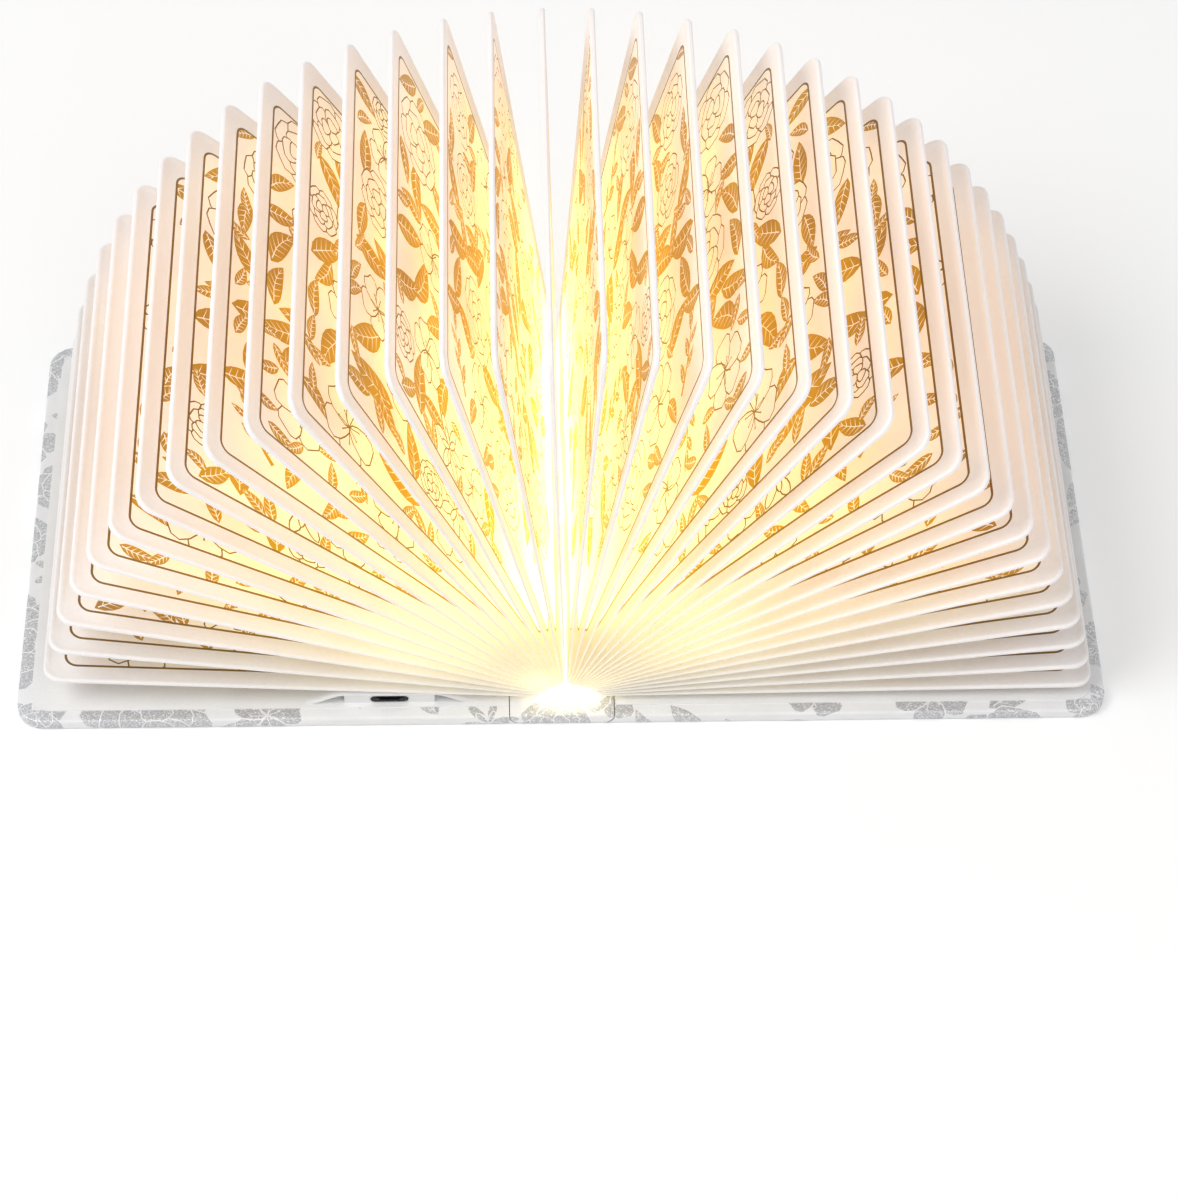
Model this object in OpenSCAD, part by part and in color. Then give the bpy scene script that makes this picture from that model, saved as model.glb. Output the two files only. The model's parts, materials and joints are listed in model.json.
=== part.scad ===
// Folding book lamp, shown open flat: a hard cover like a book's, a light bar along its
// spine, and a fan of paper leaves that turn about the bar.
// X runs across the open covers, Y along the spine, Z up. The origin is the middle of the
// underside of the spine, on the table. Right is +X, and the front end is at -Y.

/* [Covers] */
// Width of a cover, from its hinge axis to its fore edge
cover_w = 168; // [140:1:200]
// Length of the covers and of the spine
cover_l = 172; // [160:1:230]
// Thickness of a cover with its paper
cover_t = 4; // [3.4:0.1:5]
// Thickness of the decorated paper round the boards
wrap_t = 0.35; // [0.3:0.05:0.5]
// Radius of the two outer corners of a cover
cover_r = 9; // [4:0.5:14]
// Running gap between the rolled edge of the spine and the hollow edge of a cover
joint_gap = 0.3; // [0.25:0.05:0.5]
// Distance from the hinge axis to the inner edge of a cover's board
board_set = 6; // [5.8:0.2:9]
// Width of the paper turned in over the boards
turn_in = 14; // [10:1:20]

/* [Linings] */
// Thickness of the lining paper inside the covers
lining_t = 0.3; // [0.2:0.05:0.4]
// Bare margin between the lining and the edge of the cover
lining_margin = 4.5; // [2:0.5:5.5]
// Width of the paper's slope on each side of the battery housing
tent_slope = 9; // [7:1:12]

/* [Leaves] */
// Number of leaves
leaf_count = 35; // [25:2:35]
// Distance between neighbouring leaves where they meet the light bar
leaf_pitch = 0.6; // [0.55:0.05:0.75]
// Thickness of a leaf
leaf_t = 0.34; // [0.2:0.02:0.36]
// How far the covers stand out past the front and rear ends of the leaves
end_margin = 6; // [4:0.5:8]
// Radius of the outer corners of a leaf
leaf_r = 6; // [3:0.5:12]
// Angle of the first leaf above the right cover, in degrees
first_angle = 0.8; // [0.6:0.1:3]
// Angle of the last leaf above the left cover, in degrees
last_angle = 3.7; // [3.7:0.1:7]
// How much closer the outer leaves lie than the middle ones, as a share
crowding = 0.1; // [0:0.01:0.12]
// How far the middle leaf leans towards the right cover, as a share of a quarter turn
fan_lean = 0.09; // [0:0.01:0.1]
// Height of the outermost leaves' roots above the table
root_z = 7.2; // [7:0.1:9]
// How far the arc of the roots rises from the outermost leaf to the middle one
root_rise = 5.6; // [5:0.1:7]
// How far the covers stand out past the leaves when the book is shut
fore_edge = 1; // [0.5:0.5:4]
// Running gap between an outermost leaf and what lies beside it when the book is shut
side_gap = 0.33; // [0.3:0.01:0.6]

/* [Light bar] */
// Gap between the roots of the leaves and the diffuser
root_gap = 0.45; // [0.4:0.05:0.8]
// Wall of the diffuser
diffuser_wall = 1.2; // [0.8:0.1:1.5]
// How far the sides of the diffuser stand out past the outermost roots
diffuser_side = 0.25; // [0.1:0.05:0.3]
// How much shorter the diffuser is than the leaves, without its end caps
bar_short = 4; // [3.4:0.2:20]
// Thickness of an end cap
cap_t = 1.6; // [1:0.2:2]
// Length of an end cap's spigot inside the diffuser
spigot_l = 4; // [2:0.5:8]
// Thickness of the floor of the light bar's base
base_t = 1.2; // [0.8:0.1:1.6]
// Height of the base's side ribs above its floor
rib_h = 1.6; // [1:0.1:2]
// Thickness of the base's side ribs
rib_t = 1; // [0.8:0.1:1.5]
// How far the snap bead on each side of the base stands into the diffuser
snap = 0.4; // [0.2:0.1:0.5]
// Width of the LED strip
strip_w = 8; // [6:0.5:10]
// Thickness of the LED strip
strip_t = 0.3; // [0.2:0.1:0.5]
// Number of LEDs on the strip
led_count = 24; // [12:2:26]
// Length of an LED package along the strip
led_l = 3.5; // [2.8:0.1:3.6]
// Width of an LED package
led_w = 2.8; // [2:0.1:3.5]
// Height of an LED package
led_h = 0.9; // [0.6:0.1:1.4]

/* [Battery housing] */
// Height of the housing above the left cover
housing_h = 4.6; // [4.4:0.1:5]
// Width of the housing
housing_w = 30; // [26:1:36]
// Length of the housing along the spine
housing_l = 110; // [100:1:130]
// Distance from the left hinge axis to the housing
housing_set = 29; // [27:1:40]
// How far the housing's front lies behind the front ends of the leaves
housing_back = 0.5; // [0:0.1:2]
// Floor and roof of the housing
housing_skin = 0.6; // [0.5:0.1:0.8]
// Side walls of the housing
housing_wall = 1.2; // [1:0.1:1.6]
// Width of the port's slot in the front wall
slot_w = 13.4; // [10:0.2:15]
// Height of the port's slot
slot_h = 3.8; // [3.2:0.1:3.8]
// Width of the USB-C socket's shell
usb_w = 8.94; // [8.9:0.02:9.1]
// Height of the USB-C socket's shell
usb_h = 3.16; // [3.1:0.02:3.2]
// Length of the USB-C socket's shell
usb_l = 7.3; // [6.5:0.1:10]
// Sheet thickness of the USB-C socket's shell
usb_t = 0.3; // [0.2:0.05:0.35]
// Thickness of the charging board
board_t = 0.8; // [0.6:0.1:1]
// Length of the charging board
charge_l = 26; // [20:1:36]
// Thickness of the battery cell
cell_t = 3; // [2:0.1:3.2]
// Length of the battery cell
cell_l = 66; // [40:1:70]
// Room between the battery cell and each side wall of the housing
cell_room = 1.3; // [1:0.1:4]

/* [Magnets and leads] */
// Diameter of a magnet in a cover
magnet_d = 10; // [6:1:14]
// Thickness of a magnet
magnet_t = 2; // [1:0.1:2.4]
// Distance from the middle of a magnet to the fore edge
magnet_edge = 24; // [22:1:40]
// Distance between the two magnets in a cover
magnet_gap = 110; // [60:1:120]
// Width of the flat lead from the housing to the light bar
lead_w = 5; // [3:0.5:8]
// Distance from the back of the housing to the middle of the lead
lead_back = 20; // [10:1:30]
// Clearance where one piece fits in another
fit_gap = 0.1; // [0.05:0.01:0.15]

/* [Hidden] */
$fn = 64;
eps = 1;                      // overshoot of a cut past a face
round_r = cover_t;            // the rolled edge of the spine turns about the hinge axis
leaf_l = cover_l - 2 * end_margin;
half_spread = (leaf_count - 1) / 2 * leaf_pitch;
side_right = leaf_t / 2 + side_gap + lining_t;
side_left = side_right + housing_h;
hinge_x = (2 * half_spread + side_right + side_left) / 2;
fan_x = hinge_x - side_right - half_spread;
root_r = (half_spread * half_spread + root_rise * root_rise) / (2 * root_rise);
root_mid_z = root_z + root_rise - root_r;
shut_top = cover_t + cover_w - fore_edge;
diffuser_r = root_r - root_gap;
diffuser_half = half_spread + diffuser_side;
inner_half = diffuser_half - diffuser_wall - fit_gap;
diffuser_l = leaf_l - bar_short;
strip_z = cover_t + base_t;
strip_room = 1.5;             // distance from each end of the strip to the end cap's spigot
strip_l = diffuser_l - 2 * (spigot_l + strip_room);
led_pitch = (strip_l - 2 * led_l) / (led_count - 1);
resistor = [1.2, 2, 0.5];     // width, length and height of a resistor on the strip
resistor_gap = 0.6;           // space between a resistor and the LED beside it
housing_front = -leaf_l / 2 + housing_back;
housing_mid = housing_set + housing_w / 2;
housing_floor = cover_t + housing_skin;
housing_roof = cover_t + housing_h - housing_skin;
lid_lip = 1;                  // depth of the lid's locating lip
slot_z = cover_t + housing_h / 2;
usb_back = 1.6;               // how far the socket lies behind the front of the housing
socket_room = 1;              // space behind the socket that the lid's lip leaves free
board_z = slot_z - board_t / 2;
board_front = housing_front + housing_wall + fit_gap;
board_back = board_front + charge_l;
board_half = housing_w / 2 - housing_wall - housing_skin - 2 * fit_gap;
post = [2, 3];                // diameter of a post, and its distance from the board's back
chip_row = charge_l / 4;      // distance from the row of chips to the board's back
// Chips on the charging board: place across it as a share of its half width, and size
chips = [[-0.6, [4, 5, 0.7]], [0.45, [4, 4, 0.8]], [0, [3, 2, 0.6]]];
tongue_set = 1.2;             // distance from the tongue to each side of the socket
cell_w = housing_w - 2 * (housing_wall + cell_room);
cell_gap = 5.5;               // room for the leads between the board and the cell
cell_front = board_back + cell_gap;
cell_lip = [1, 2];            // how much narrower the pouch's lip is, and its length
lead_y = housing_front + housing_l - lead_back;
lead_start = 0.6;             // distance of each lead's end from the hinge axis
tent_ease = lining_t + fit_gap; // how far the paper stands off the housing's sides

function leaf_name(i) = str("leaf_", i < 10 ? "0" : "", i);
function leaf_x(i) = fan_x + half_spread - (i - 1) * leaf_pitch;
function leaf_z(i) = root_mid_z + sqrt(root_r * root_r - pow(leaf_x(i) - fan_x, 2));
function leaf_w(i) = shut_top - leaf_z(i);
// Place of a leaf in the fan, from -1 for the first to 1 for the last
function leaf_u(i) = (2 * i - leaf_count - 1) / (leaf_count - 1);
function crowded(u) = u - crowding * (u * u * u - u);
function leaning(u) = -fan_lean * (1 - u * u);
function leaf_angle(i) = first_angle + (180 - last_angle - first_angle)
    * (1 + crowded(leaf_u(i)) + leaning(leaf_u(i))) / 2;

// ---- shared shapes ----

// A block given by its low and high corners
module block(lo, hi) {
    translate(lo) cube(hi - lo);
}

// Solid of length l along Y, centred at y, from a profile drawn in X and Z
module along_y(l, y = 0) {
    translate([0, y + l / 2, 0]) rotate([90, 0, 0]) linear_extrude(l) children();
}

// Sheet outline with its two outer corners rounded, from x = x0 to x1 and length l
module sheet(x0, x1, l, r) {
    translate([x0, -l / 2]) square([x1 - x0 - r, l]);
    translate([x0, -l / 2 + r]) square([x1 - x0, l - 2 * r]);
    for (side = [-1, 1])
        translate([x1 - r, side * (l / 2 - r)]) circle(r);
}

// Slot outline with round ends, w wide and h high, centred
module slot(w, h) {
    square([w - h, h], center = true);
    for (side = [-1, 1])
        translate([side * (w - h) / 2, 0]) circle(h / 2);
}

// ---- covers, drawn with the hinge axis at x = 0 and the cover towards +X ----

module cover_side(side) {
    if (side > 0)
        translate([hinge_x, 0, 0]) children();
    else
        mirror([1, 0, 0]) translate([hinge_x, 0, 0]) children();
}

module magnet_places() {
    for (end = [-1, 1])
        translate([cover_w - magnet_edge, end * magnet_gap / 2, 0]) children();
}

module board_body() {
    translate([0, 0, wrap_t])
        linear_extrude(cover_t - 2 * wrap_t)
            sheet(board_set, cover_w - wrap_t, cover_l - 2 * wrap_t, cover_r - wrap_t);
}

module cover_board() {
    difference() {
        board_body();
        magnet_places()
            translate([0, 0, cover_t - wrap_t - magnet_t])
                cylinder(d = magnet_d + 2 * fit_gap, h = magnet_t + eps);
    }
}

module cover_magnets() {
    magnet_places()
        translate([0, 0, cover_t - wrap_t - magnet_t]) cylinder(d = magnet_d, h = magnet_t);
}

// Inside of the turned-in paper, where the lining meets the board
module window(shrink = 0) {
    translate([board_set + turn_in / 2 + shrink, -cover_l / 2 + turn_in + shrink])
        square([cover_w - board_set - 1.5 * turn_in - 2 * shrink,
                cover_l - 2 * turn_in - 2 * shrink]);
}

module cover_wrap() {
    difference() {
        linear_extrude(cover_t) sheet(0, cover_w, cover_l, cover_r);
        translate([0, 0, cover_t]) along_y(cover_l + 2 * eps) circle(round_r + joint_gap);
        board_body();
        translate([0, 0, cover_t - wrap_t - eps]) linear_extrude(2 * eps + wrap_t) window();
    }
}

module lining_sheet() {
    translate([0, 0, cover_t])
        linear_extrude(lining_t)
            sheet(round_r + joint_gap + lining_t, cover_w - lining_margin,
                  cover_l - 2 * lining_margin, cover_r - lining_margin / 2);
    translate([0, 0, cover_t - wrap_t]) linear_extrude(wrap_t) window();
}

// Way for the flat lead through the lining, from the hinge to the housing
module lead_slot() {
    block([0, lead_y - lead_w / 2 - fit_gap, cover_t],
          [housing_set, lead_y + lead_w / 2 + fit_gap, cover_t + lining_t + fit_gap]);
}

// Paper over the housing: flat on top, with a slope on each side and behind
module tent(inset) {
    low = cover_t - eps;
    base = cover_t + lining_t - inset;
    high = base + housing_h;
    x0 = housing_set - tent_slope - tent_ease + inset;
    x1 = housing_set + housing_w + tent_slope + tent_ease - inset;
    y0 = -leaf_l / 2 - (inset > 0 ? eps : 0);
    y1 = housing_front + housing_l + tent_slope + tent_ease - inset;
    intersection() {
        along_y(2 * cover_l)
            polygon([[x0, low], [x0, base], [x0 + tent_slope, high], [x1 - tent_slope, high],
                     [x1, base], [x1, low]]);
        translate([x0 - eps, 0, 0]) rotate([90, 0, 90]) linear_extrude(x1 - x0 + 2 * eps)
            polygon([[y0, low], [y0, high], [y1 - tent_slope, high], [y1, base], [y1, low]]);
    }
}

// ---- leaves ----

module leaf(i) {
    color([1, 0.93, 0.84])
        translate([leaf_x(i), 0, leaf_z(i)])
            rotate([0, -leaf_angle(i), 0])
                translate([0, 0, -leaf_t / 2])
                    linear_extrude(leaf_t) sheet(0, leaf_w(i), leaf_l, leaf_r);
}

// ---- spine ----

// Flat board between the hinges, rolled round the hinge axes below
module spine_section() {
    intersection() {
        union() {
            translate([-hinge_x, 0]) square([2 * hinge_x, cover_t]);
            for (side = [-1, 1])
                translate([side * hinge_x, cover_t]) circle(round_r);
        }
        translate([-hinge_x - round_r, 0]) square([2 * (hinge_x + round_r), cover_t]);
    }
}

module spine_board_body() {
    block([-hinge_x, -cover_l / 2 + wrap_t, wrap_t],
          [hinge_x, cover_l / 2 - wrap_t, cover_t - wrap_t]);
}

// Opening of the spine's paper under the light bar
module spine_window() {
    half = inner_half - rib_t;
    block([fan_x - half, -diffuser_l / 2 + spigot_l, cover_t - wrap_t],
          [fan_x + half, diffuser_l / 2 - spigot_l, cover_t + eps]);
}

module spine_board() {
    color([0.72, 0.68, 0.6]) spine_board_body();
}

module spine_wrap() {
    color([0.93, 0.93, 0.93])
        difference() {
            along_y(cover_l) spine_section();
            spine_board_body();
            spine_window();
        }
}

// ---- light bar ----

module dome(r, half, low) {
    intersection() {
        translate([fan_x, root_mid_z]) circle(r, $fn = 128);
        translate([fan_x - half, low]) square([2 * half, r + root_mid_z]);
    }
}

// Bead along each side of the base, and with a gap the groove in the diffuser for it
module snap_bead(gap = 0) {
    z = strip_z - snap;
    for (side = [-1, 1])
        polygon([[fan_x + side * (inner_half - rib_t / 2), z - snap - gap],
                 [fan_x + side * inner_half, z - snap - gap],
                 [fan_x + side * (inner_half + snap + gap), z],
                 [fan_x + side * inner_half, z + snap + gap],
                 [fan_x + side * (inner_half - rib_t / 2), z + snap + gap]]);
}

module base_section() {
    intersection() {
        union() {
            translate([fan_x - inner_half, cover_t]) square([2 * inner_half, base_t]);
            for (side = [-1, 1])
                translate([fan_x + side * (inner_half - rib_t / 2) - rib_t / 2, cover_t])
                    square([rib_t, base_t + rib_h]);
        }
        // the ribs end under the curve of the diffuser
        dome(diffuser_r - diffuser_wall - fit_gap, inner_half, cover_t);
    }
    snap_bead();
}

module bar_base() {
    color([0.85, 0.86, 0.88])
        difference() {
            union() {
                along_y(diffuser_l - 2 * (spigot_l + fit_gap)) base_section();
                intersection() {
                    spine_window();
                    block([-hinge_x, -cover_l, cover_t - wrap_t],
                          [hinge_x, cover_l, cover_t]);
                }
            }
            // shallow bed that the strip lies in
            block([fan_x - strip_w / 2 - fit_gap, -strip_l / 2 - fit_gap, strip_z - strip_t / 2],
                  [fan_x + strip_w / 2 + fit_gap, strip_l / 2 + fit_gap, strip_z + eps]);
        }
}

module led_strip() {
    color([0.96, 0.95, 0.9])
        block([fan_x - strip_w / 2, -strip_l / 2, strip_z - strip_t / 2],
              [fan_x + strip_w / 2, strip_l / 2, strip_z + strip_t / 2]);
}

module led_chips() {
    top = strip_z + strip_t / 2;
    color([1, 0.85, 0.4])
        for (k = [0:led_count - 1]) {
            y = (k - (led_count - 1) / 2) * led_pitch;
            block([fan_x - led_w / 2, y - led_l / 2, top],
                  [fan_x + led_w / 2, y + led_l / 2, top + led_h]);
            if (k % 2 == 0)
                translate([fan_x + led_w / 2 + resistor_gap, y - resistor[1] / 2, top])
                    cube(resistor);
        }
}

module diffuser() {
    color([1, 1, 0.92])
        difference() {
            along_y(diffuser_l) dome(diffuser_r, diffuser_half, cover_t);
            along_y(diffuser_l + 2 * eps)
                dome(diffuser_r - diffuser_wall, diffuser_half - diffuser_wall, cover_t - eps);
            along_y(diffuser_l + 2 * eps) snap_bead(fit_gap);
        }
}

// Plate over the end of the diffuser with a spigot inside it
module end_cap(end) {
    color([0.97, 0.96, 0.93]) {
        along_y(cap_t, end * (diffuser_l + cap_t) / 2)
            dome(diffuser_r, diffuser_half, cover_t);
        along_y(spigot_l, end * (diffuser_l - spigot_l) / 2)
            difference() {
                dome(diffuser_r - diffuser_wall - fit_gap, inner_half, cover_t);
                dome(diffuser_r - 2 * diffuser_wall, inner_half - diffuser_wall, cover_t - eps);
            }
    }
}

module front_end_cap() {
    end_cap(-1);
}

module rear_end_cap() {
    end_cap(1);
}

// Flat lead from the hinge to the side of the light bar
module bar_lead() {
    color([0.9, 0.88, 0.8])
        block([-hinge_x + lead_start, lead_y - lead_w / 2, cover_t],
              [fan_x - diffuser_half, lead_y + lead_w / 2, cover_t + lining_t]);
}

// ---- right cover ----

module right_board() {
    color([0.72, 0.68, 0.6]) cover_side(1) cover_board();
}

module right_wrap() {
    color([0.93, 0.93, 0.93]) cover_side(1) cover_wrap();
}

module right_lining() {
    color([0.97, 0.97, 0.96]) cover_side(1) lining_sheet();
}

module right_magnets() {
    color([0.75, 0.76, 0.78]) cover_side(1) cover_magnets();
}

// ---- left cover ----

module left_board() {
    color([0.72, 0.68, 0.6]) cover_side(-1) cover_board();
}

module left_wrap() {
    color([0.93, 0.93, 0.93]) cover_side(-1) cover_wrap();
}

module above_cover() {
    intersection() {
        children();
        translate([0, 0, cover_t]) linear_extrude(2 * housing_h)
            sheet(0, cover_w, cover_l, cover_r);
    }
}

module left_lining() {
    color([0.97, 0.97, 0.96])
        cover_side(-1)
            difference() {
                union() {
                    lining_sheet();
                    above_cover() tent(0);
                }
                above_cover() tent(lining_t);
                lead_slot();
            }
}

module left_magnets() {
    color([0.75, 0.76, 0.78]) cover_side(-1) cover_magnets();
}

// ---- battery housing, drawn with the left hinge axis at x = 0 ----

module housing_block(side_inset, low, high, end_inset) {
    block([housing_set + side_inset, housing_front + end_inset, low],
          [housing_set + housing_w - side_inset, housing_front + housing_l - end_inset, high]);
}

module port_cut(w, h, y0, y1) {
    translate([housing_mid, y1, slot_z]) rotate([90, 0, 0]) linear_extrude(y1 - y0)
        slot(w, h);
}

module housing_tray() {
    color([0.95, 0.95, 0.94])
        cover_side(-1)
            difference() {
                housing_block(0, cover_t, housing_roof, 0);
                housing_block(housing_wall, housing_floor, housing_roof + eps, housing_wall);
                port_cut(slot_w, slot_h, housing_front - eps, housing_front + housing_wall + eps);
                // way out for the lead
                block([housing_set - eps, lead_y - lead_w / 2 - fit_gap, cover_t - eps],
                      [housing_set + housing_wall + eps, lead_y + lead_w / 2 + fit_gap,
                       cover_t + lining_t + fit_gap]);
            }
}

module housing_lid() {
    lip = housing_wall + fit_gap;
    color([0.95, 0.95, 0.94])
        cover_side(-1)
            difference() {
                union() {
                    housing_block(0, housing_roof, housing_roof + housing_skin, 0);
                    difference() {
                        housing_block(lip, housing_roof - lid_lip, housing_roof, lip);
                        housing_block(lip + housing_skin, housing_roof - lid_lip - eps,
                                      housing_roof, lip + housing_skin);
                        // the lip stops beside the socket
                        block([housing_mid - slot_w / 2, housing_front, housing_floor],
                              [housing_mid + slot_w / 2,
                               housing_front + usb_l + usb_back + socket_room, housing_roof]);
                    }
                }
                port_cut(slot_w, slot_h, housing_front - eps, housing_front + housing_wall + eps);
            }
}

module battery_cell() {
    color([0.75, 0.77, 0.8])
        cover_side(-1) {
            block([housing_mid - cell_w / 2, cell_front, housing_floor],
                  [housing_mid + cell_w / 2, cell_front + cell_l, housing_floor + cell_t]);
            // sealed front lip of the pouch
            block([housing_mid - cell_w / 2 + cell_lip[0], cell_front - cell_lip[1],
                   housing_floor + cell_t / 3],
                  [housing_mid + cell_w / 2 - cell_lip[0], cell_front,
                   housing_floor + cell_t / 2]);
        }
}

// Charging board with its notch for the socket, its posts and the chips on it
module charge_board() {
    notch_half = usb_w / 2 + fit_gap;
    color([0.1, 0.35, 0.2])
        cover_side(-1)
            difference() {
                union() {
                    block([housing_mid - board_half, board_front, board_z],
                          [housing_mid + board_half, board_back, board_z + board_t]);
                    for (side = [-1, 1])
                        translate([housing_mid + side * (board_half - post[0]),
                                   board_back - post[1], housing_floor])
                            cylinder(d = post[0], h = board_z - housing_floor);
                    for (chip = chips)
                        translate([housing_mid + chip[0] * board_half - chip[1][0] / 2,
                                   board_back - chip_row - chip[1][1] / 2,
                                   board_z + board_t])
                            cube(chip[1]);
                }
                block([housing_mid - notch_half, board_front - eps, board_z - eps],
                      [housing_mid + notch_half, housing_front + usb_back + usb_l + fit_gap,
                       board_z + board_t + eps]);
            }
}

module usb_shell() {
    middle = housing_front + usb_back + usb_l / 2;
    color([0.8, 0.81, 0.82])
        cover_side(-1)
            translate([housing_mid, 0, slot_z])
                difference() {
                    along_y(usb_l, middle) slot(usb_w, usb_h);
                    along_y(usb_l, middle - usb_t) slot(usb_w - 2 * usb_t, usb_h - 2 * usb_t);
                }
}

module usb_tongue() {
    front = housing_front + usb_back + usb_t;
    half = usb_w / 2 - tongue_set;
    color([0.08, 0.08, 0.09])
        cover_side(-1)
            translate([housing_mid, 0, slot_z])
                block([-half, front, -usb_t], [half, front + usb_l - 2 * usb_t, usb_t]);
}

// Flat lead from the housing to the hinge
module cover_lead() {
    color([0.9, 0.88, 0.8])
        cover_side(-1)
            block([lead_start, lead_y - lead_w / 2, cover_t],
                  [housing_set + housing_wall, lead_y + lead_w / 2, cover_t + lining_t]);
}

spine_board();
spine_wrap();
bar_base();
led_strip();
led_chips();
diffuser();
front_end_cap();
rear_end_cap();
bar_lead();
right_board();
right_wrap();
right_lining();
right_magnets();
left_board();
left_wrap();
left_lining();
left_magnets();
housing_tray();
housing_lid();
battery_cell();
charge_board();
usb_shell();
usb_tongue();
cover_lead();
for (i = [1:leaf_count])
    leaf(i);
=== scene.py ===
import json
import math
import random

import bpy
import numpy as np
from mathutils import Matrix, Vector
from mathutils.geometry import delaunay_2d_cdt


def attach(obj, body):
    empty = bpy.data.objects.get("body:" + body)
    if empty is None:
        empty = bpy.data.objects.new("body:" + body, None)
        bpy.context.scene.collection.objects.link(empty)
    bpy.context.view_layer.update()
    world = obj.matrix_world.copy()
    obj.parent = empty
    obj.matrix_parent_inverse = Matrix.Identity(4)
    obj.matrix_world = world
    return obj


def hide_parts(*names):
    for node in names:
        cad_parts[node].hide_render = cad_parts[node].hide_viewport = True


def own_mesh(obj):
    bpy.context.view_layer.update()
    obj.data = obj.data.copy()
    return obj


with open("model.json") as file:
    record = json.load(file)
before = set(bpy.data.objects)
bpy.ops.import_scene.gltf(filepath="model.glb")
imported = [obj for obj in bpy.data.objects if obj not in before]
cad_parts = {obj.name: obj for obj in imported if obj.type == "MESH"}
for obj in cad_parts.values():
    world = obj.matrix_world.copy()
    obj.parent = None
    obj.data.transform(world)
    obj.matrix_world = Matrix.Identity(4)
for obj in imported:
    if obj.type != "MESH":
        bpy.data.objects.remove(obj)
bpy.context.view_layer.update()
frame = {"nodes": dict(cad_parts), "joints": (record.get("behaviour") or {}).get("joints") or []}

# ---- sizes, in millimetres
# The same sizes as in the part's source.
MM = 0.001
COVER_W = 168.0  # from the hinge axis to the fore edge
COVER_L = 172.0
COVER_T = 4.0
COVER_R = 9.0  # outer corners of a cover
HINGE_X = 13.3  # from the middle of the spine to a cover's hinge axis
JOINT_GAP = 0.3
HOLLOW_R = COVER_T + JOINT_GAP  # hollow edge of a cover, round the spine's rolled edge
LINING_T = 0.3
LINING_MARGIN = 4.5  # bare edge of a cover round its lining
END_MARGIN = 6.0  # how far the covers stand out past the leaves' ends
LEAF_L = COVER_L - 2 * END_MARGIN
LEAF_R = 6.0
LEAF_T = 0.34
FORE_EDGE = 1.0  # how far the shut covers stand out past the leaves
SHUT_TOP = COVER_T + COVER_W - FORE_EDGE
ROOT_TOP = 12.8  # height of the middle leaf's root
HOUSING_SET = 29.0  # from the hinge axis to the battery housing
HOUSING_W = 30.0
HOUSING_H = 4.6
HOUSING_L = 110.0
HOUSING_FRONT = -79.5
SLOT_W = 13.4  # charging slot
SLOT_H = 3.8

# tones of the printed sheets: their numbers are the material slots
MARGIN, PAGE, INK, LINE = 0, 1, 2, 3
PAPER, FOIL = 0, 1
TONE_ROOM = 8  # a label is a tone plus this many times the number of a band
STRAIGHT = 0.004  # a point this near the line between its neighbours isn't needed
GRAIN_DEPTH = 0.0002  # height of a surface's grain, in metres
FULL_LEVEL = 4.0  # glow that a colour ramp's white stands for


# ---- camera, floor and light
def place_camera():
    """The photograph's viewing angle: focal length and shifts in pixels of its frame."""
    yaw, pitch = 0.01412, 0.8652
    place = Vector((-23.15, -827.18, 955.32)) * MM
    focal, shift_x, shift_y, frame_high = 3632.0, -65.0, -42.0, 1200.0
    forward = Vector((math.sin(yaw) * math.cos(pitch), math.cos(yaw) * math.cos(pitch),
                      -math.sin(pitch)))
    right = Vector((math.cos(yaw), -math.sin(yaw), 0.0))
    up = right.cross(forward)
    camera = bpy.data.cameras.new("camera")
    camera.sensor_width = 36.0
    camera.lens = focal * camera.sensor_width / frame_high
    camera.shift_x = -shift_x / frame_high
    camera.shift_y = shift_y / frame_high
    camera.clip_start = 0.05
    holder = bpy.data.objects.new("camera", camera)
    axes = Matrix((right, up, -forward)).transposed()
    holder.matrix_world = Matrix.Translation(place) @ axes.to_4x4()
    bpy.context.scene.collection.objects.link(holder)
    bpy.context.scene.camera = holder


def add_lamp(name, place, aim, size, power):
    lamp = bpy.data.lights.new(name, "AREA")
    lamp.shape = "DISK"
    lamp.size = size
    lamp.energy = power
    holder = bpy.data.objects.new(name, lamp)
    holder.location = place
    holder.rotation_euler = (Vector(aim) - Vector(place)).to_track_quat("-Z", "Y").to_euler()
    bpy.context.scene.collection.objects.link(holder)


def seen_directly(tree):
    """1 where a camera, glossy or transmission ray looks, else 0."""
    path = tree.nodes.new("ShaderNodeLightPath").outputs
    either = math_node(tree, "MAXIMUM", path["Is Camera Ray"], path["Is Glossy Ray"])
    return math_node(tree, "MAXIMUM", either, path["Is Transmission Ray"])


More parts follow.
